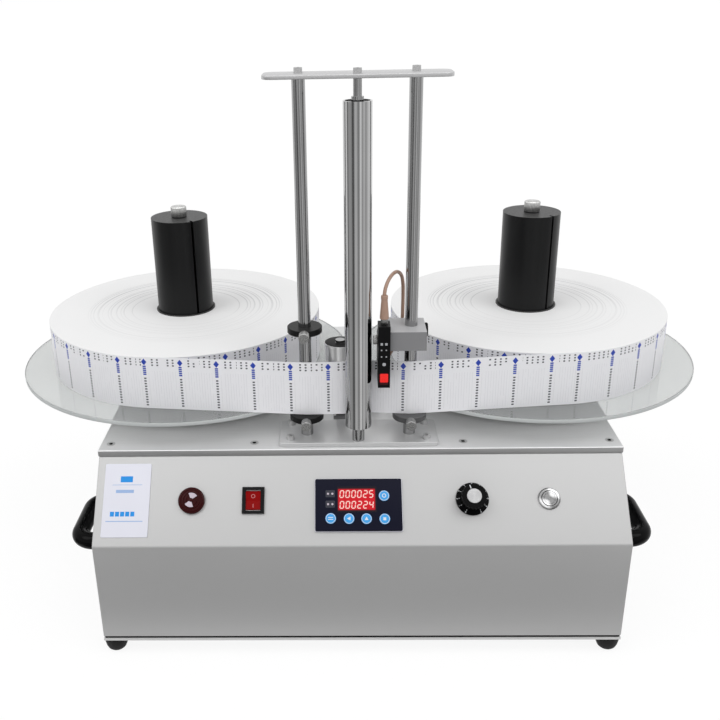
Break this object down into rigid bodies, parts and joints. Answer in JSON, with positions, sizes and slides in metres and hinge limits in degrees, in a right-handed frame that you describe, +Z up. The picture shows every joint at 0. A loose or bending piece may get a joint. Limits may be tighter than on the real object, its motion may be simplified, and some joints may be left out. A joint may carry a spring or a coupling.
{
  "type": "label slitter rewinder",
  "caption": "Desk rewinder: sloped control cabinet, label rolls on clear reel discs, and a guide tower with a sensor that counts labels as the strip winds across.",
  "frame": {"origin": "middle of the footprint, on the floor under the feet", "axes": "+X to the machine's right as its user faces the panel, +Y to the rear, +Z up"},
  "size_m": [0.8819, 0.507, 0.651],
  "materials": {
    "cabinet_paint": "light silver-grey semi-gloss paint",
    "top_aluminium": "brushed",
    "tie_aluminium": "satin",
    "foot_rubber": "matt",
    "screw_steel": "bright",
    "black_handle": "satin",
    "alarm_red": "gloss",
    "black_plastic": "fine satin",
    "counter_blue": "satin",
    "display_window": "gloss",
    "key_blue": "satin",
    "pot_metal": "plain",
    "button_metal": "satin",
    "polished_steel": "polished",
    "cable_tan": "satin",
    "label_paper": "matt white",
    "housing_metal": "machined",
    "motor_paint": "dark paint",
    "board_green": "plain",
    "spindle_steel": "turned",
    "clear_disc": "clear polished acrylic",
    "mandrel_black": "black anodised, satin",
    "knurled_steel": "knurled",
    "collar_black": "black anodised",
    "rocker_red": "gloss"
  },
  "bodies": {
    "cabinet": {"cabinet_shell": "cabinet_paint", "rear_panel": "cabinet_paint", "base_tray": "cabinet_paint", "top_plate": "top_aluminium", "rubber_feet": "foot_rubber", "machine_screws": "screw_steel", "left_handle": "black_handle", "right_handle": "black_handle", "alarm_buzzer": "alarm_red", "switch_housing": "black_plastic", "counter_case": "counter_blue", "counter_window": "display_window", "speed_pot": "pot_metal", "button_housing": "button_metal", "tower_plate": "top_aluminium", "left_post": "polished_steel", "right_post": "polished_steel", "guide_shafts": "polished_steel", "tie_bar": "tie_aluminium", "cable_gland": "black_plastic", "sensor_cable": "cable_tan", "label_web": "label_paper", "bearing_housings": "housing_metal", "drive_motor": "motor_paint", "tension_brake": "motor_paint", "power_supply": "housing_metal", "control_board": "board_green", "mains_inlet": "black_plastic"},
    "right_reel": {"right_spindle": "spindle_steel", "right_disc": "clear_disc", "right_mandrel": "mandrel_black", "right_roll": "label_paper", "motor_coupling": "housing_metal"},
    "right_nut": {"right_mandrel_knob": "knurled_steel"},
    "left_reel": {"left_spindle": "spindle_steel", "left_disc": "clear_disc", "left_mandrel": "mandrel_black", "left_roll": "label_paper"},
    "left_nut": {"left_mandrel_knob": "knurled_steel"},
    "centre_roller": {"roller_tube": "polished_steel"},
    "drum": {"measuring_drum": "polished_steel"},
    "upper_left_guide": {"left_upper_collar": "collar_black"},
    "lower_left_guide": {"left_lower_collar": "collar_black"},
    "lower_right_guide": {"right_lower_collar": "collar_black"},
    "upper_left_thumbscrew": {"left_upper_screw": "knurled_steel"},
    "lower_left_thumbscrew": {"left_lower_screw": "knurled_steel"},
    "lower_right_thumbscrew": {"right_lower_screw": "knurled_steel"},
    "sensor_carriage": {"sensor_block": "tie_aluminium", "sensor_body": "black_plastic", "sensor_boot": "cable_tan", "sensor_bolt": "screw_steel"},
    "sensor_clamp": {"sensor_clamp_knob": "black_plastic"},
    "rocker": {"switch_rocker": "rocker_red"},
    "speed_dial": {"speed_knob": "black_plastic"},
    "start_cap": {"start_button": "button_metal"},
    "mode_cap": {"mode_key": "key_blue"},
    "shift_cap": {"shift_key": "key_blue"},
    "up_cap": {"up_key": "key_blue"},
    "set_cap": {"set_key": "key_blue"},
    "reset_cap": {"reset_key": "key_blue"}
  },
  "joints": [
    {"name": "right_reel_spin", "type": "hinge", "parent": "cabinet", "child": "right_reel", "pos_m": [0.225, 0.0375, 0.268], "axis": [0, 0, 1], "continuous": true},
    {"name": "left_reel_spin", "type": "hinge", "parent": "cabinet", "child": "left_reel", "pos_m": [-0.225, 0.0375, 0.268], "axis": [0, 0, 1], "continuous": true},
    {"name": "centre_roller_spin", "type": "hinge", "parent": "cabinet", "child": "centre_roller", "pos_m": [0, -0.1695, 0.44], "axis": [0, 0, 1], "continuous": true},
    {"name": "drum_spin", "type": "hinge", "parent": "cabinet", "child": "drum", "pos_m": [-0.02, -0.1415, 0.297], "axis": [0, 0, 1], "continuous": true},
    {"name": "right_nut_turn", "type": "hinge", "parent": "right_reel", "child": "right_nut", "pos_m": [0.225, 0.0375, 0.463], "axis": [0, 0, 1], "continuous": true},
    {"name": "left_nut_turn", "type": "hinge", "parent": "left_reel", "child": "left_nut", "pos_m": [-0.225, 0.0375, 0.463], "axis": [0, 0, 1], "continuous": true},
    {"name": "upper_left_guide_slide", "type": "slide", "parent": "cabinet", "child": "upper_left_guide", "axis": [0, 0, 1], "range_m": [-0.033, 0.25]},
    {"name": "lower_left_guide_slide", "type": "slide", "parent": "cabinet", "child": "lower_left_guide", "axis": [0, 0, 1], "range_m": [-0.017, 0]},
    {"name": "lower_right_guide_slide", "type": "slide", "parent": "cabinet", "child": "lower_right_guide", "axis": [0, 0, 1], "range_m": [-0.017, 0]},
    {"name": "upper_left_thumbscrew_turn", "type": "hinge", "parent": "upper_left_guide", "child": "upper_left_thumbscrew", "pos_m": [-0.0595, -0.1785, 0.3715], "axis": [0, -1, 0], "range_deg": [0, 180]},
    {"name": "lower_left_thumbscrew_turn", "type": "hinge", "parent": "lower_left_guide", "child": "lower_left_thumbscrew", "pos_m": [-0.0595, -0.1785, 0.2645], "axis": [0, -1, 0], "range_deg": [0, 180]},
    {"name": "lower_right_thumbscrew_turn", "type": "hinge", "parent": "lower_right_guide", "child": "lower_right_thumbscrew", "pos_m": [0.0595, -0.1785, 0.2645], "axis": [0, -1, 0], "range_deg": [0, 180]},
    {"name": "sensor_slide", "type": "slide", "parent": "cabinet", "child": "sensor_carriage", "axis": [0, 0, 1], "range_m": [-0.018, 0.2], "deforming": ["sensor_cable"]},
    {"name": "sensor_clamp_turn", "type": "hinge", "parent": "sensor_carriage", "child": "sensor_clamp", "pos_m": [0.078, -0.1395, 0.364], "axis": [1, 0, 0], "range_deg": [0, 180]},
    {"name": "power_rocker", "type": "hinge", "parent": "cabinet", "child": "rocker", "pos_m": [-0.12, -0.21578, 0.18679], "axis": [1, 0, 0], "range_deg": [-16, 0]},
    {"name": "speed_dial_turn", "type": "hinge", "parent": "cabinet", "child": "speed_dial", "pos_m": [0.1266, -0.22611, 0.19625], "axis": [0, -0.7378, 0.6751], "range_deg": [-195, 105]},
    {"name": "start_press", "type": "slide", "parent": "cabinet", "child": "start_cap", "axis": [0, 0.7378, -0.6751], "range_m": [0, 0.0012], "stiffness_N_per_m": 1500, "springref_m": -0.001},
    {"name": "reset_press", "type": "slide", "parent": "cabinet", "child": "reset_cap", "axis": [0, 0.7378, -0.6751], "range_m": [0, 0.0005], "stiffness_N_per_m": 1000, "springref_m": -0.0005},
    {"name": "mode_press", "type": "slide", "parent": "cabinet", "child": "mode_cap", "axis": [0, 0.7378, -0.6751], "range_m": [0, 0.0005], "stiffness_N_per_m": 1000, "springref_m": -0.0005},
    {"name": "shift_press", "type": "slide", "parent": "cabinet", "child": "shift_cap", "axis": [0, 0.7378, -0.6751], "range_m": [0, 0.0005], "stiffness_N_per_m": 1000, "springref_m": -0.0005},
    {"name": "up_press", "type": "slide", "parent": "cabinet", "child": "up_cap", "axis": [0, 0.7378, -0.6751], "range_m": [0, 0.0005], "stiffness_N_per_m": 1000, "springref_m": -0.0005},
    {"name": "set_press", "type": "slide", "parent": "cabinet", "child": "set_cap", "axis": [0, 0.7378, -0.6751], "range_m": [0, 0.0005], "stiffness_N_per_m": 1000, "springref_m": -0.0005}
  ],
  "couplings": [
    {"joint": "left_reel_spin", "follows": "right_reel_spin", "ratio": 1},
    {"joint": "centre_roller_spin", "follows": "right_reel_spin", "ratio": -11.8},
    {"joint": "drum_spin", "follows": "right_reel_spin", "ratio": 10.412}
  ]
}
